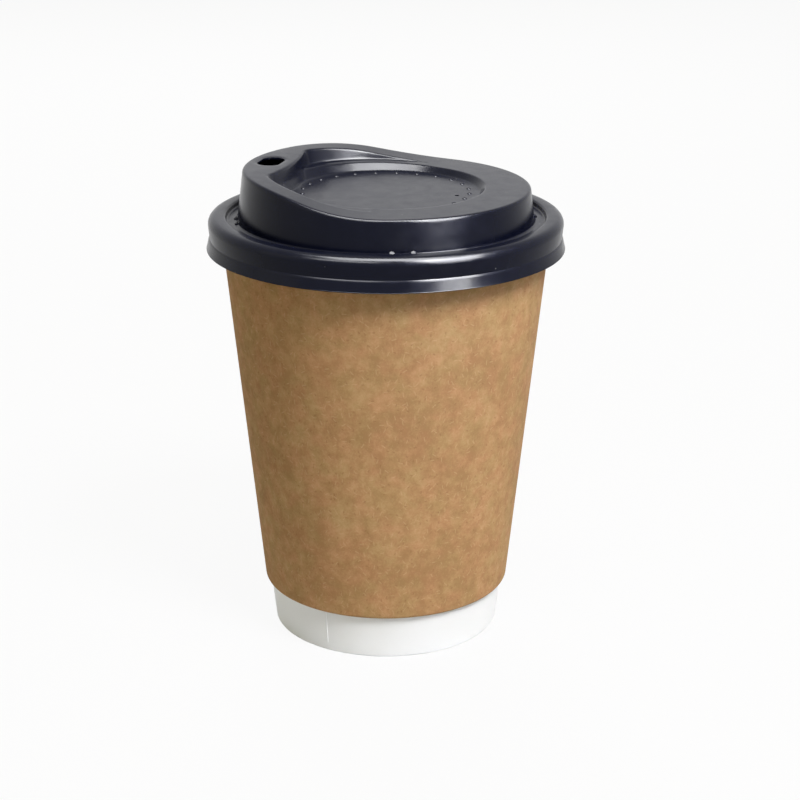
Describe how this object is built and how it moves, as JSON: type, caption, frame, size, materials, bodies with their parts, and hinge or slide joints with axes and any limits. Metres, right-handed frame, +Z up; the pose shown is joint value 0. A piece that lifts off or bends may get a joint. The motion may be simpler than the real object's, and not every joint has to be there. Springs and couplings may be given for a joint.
{
  "type": "paper coffee cup",
  "caption": "Double-wall takeaway cup of white board in a brown kraft wrap, with a black sip-through lid that lifts off.",
  "frame": {"origin": "centre of the cup's foot, on the surface that it stands on", "axes": "+Z up along the cup's axis, and the lid's drinking side faces -Y"},
  "size_m": [0.093, 0.093, 0.1243],
  "materials": {
    "white_board": "satin",
    "base_board": "satin",
    "kraft_board": "matte",
    "lid_plastic": "gloss"
  },
  "bodies": {
    "cup": {"inner_cup": "white_board", "base_disc": "base_board", "outer_wrap": "kraft_board"},
    "lid": {"lid": "lid_plastic"}
  },
  "joints": [
    {"name": "lid_lift", "type": "slide", "parent": "cup", "child": "lid", "axis": [0, 0, 1], "range_m": [0, 0.03]}
  ]
}
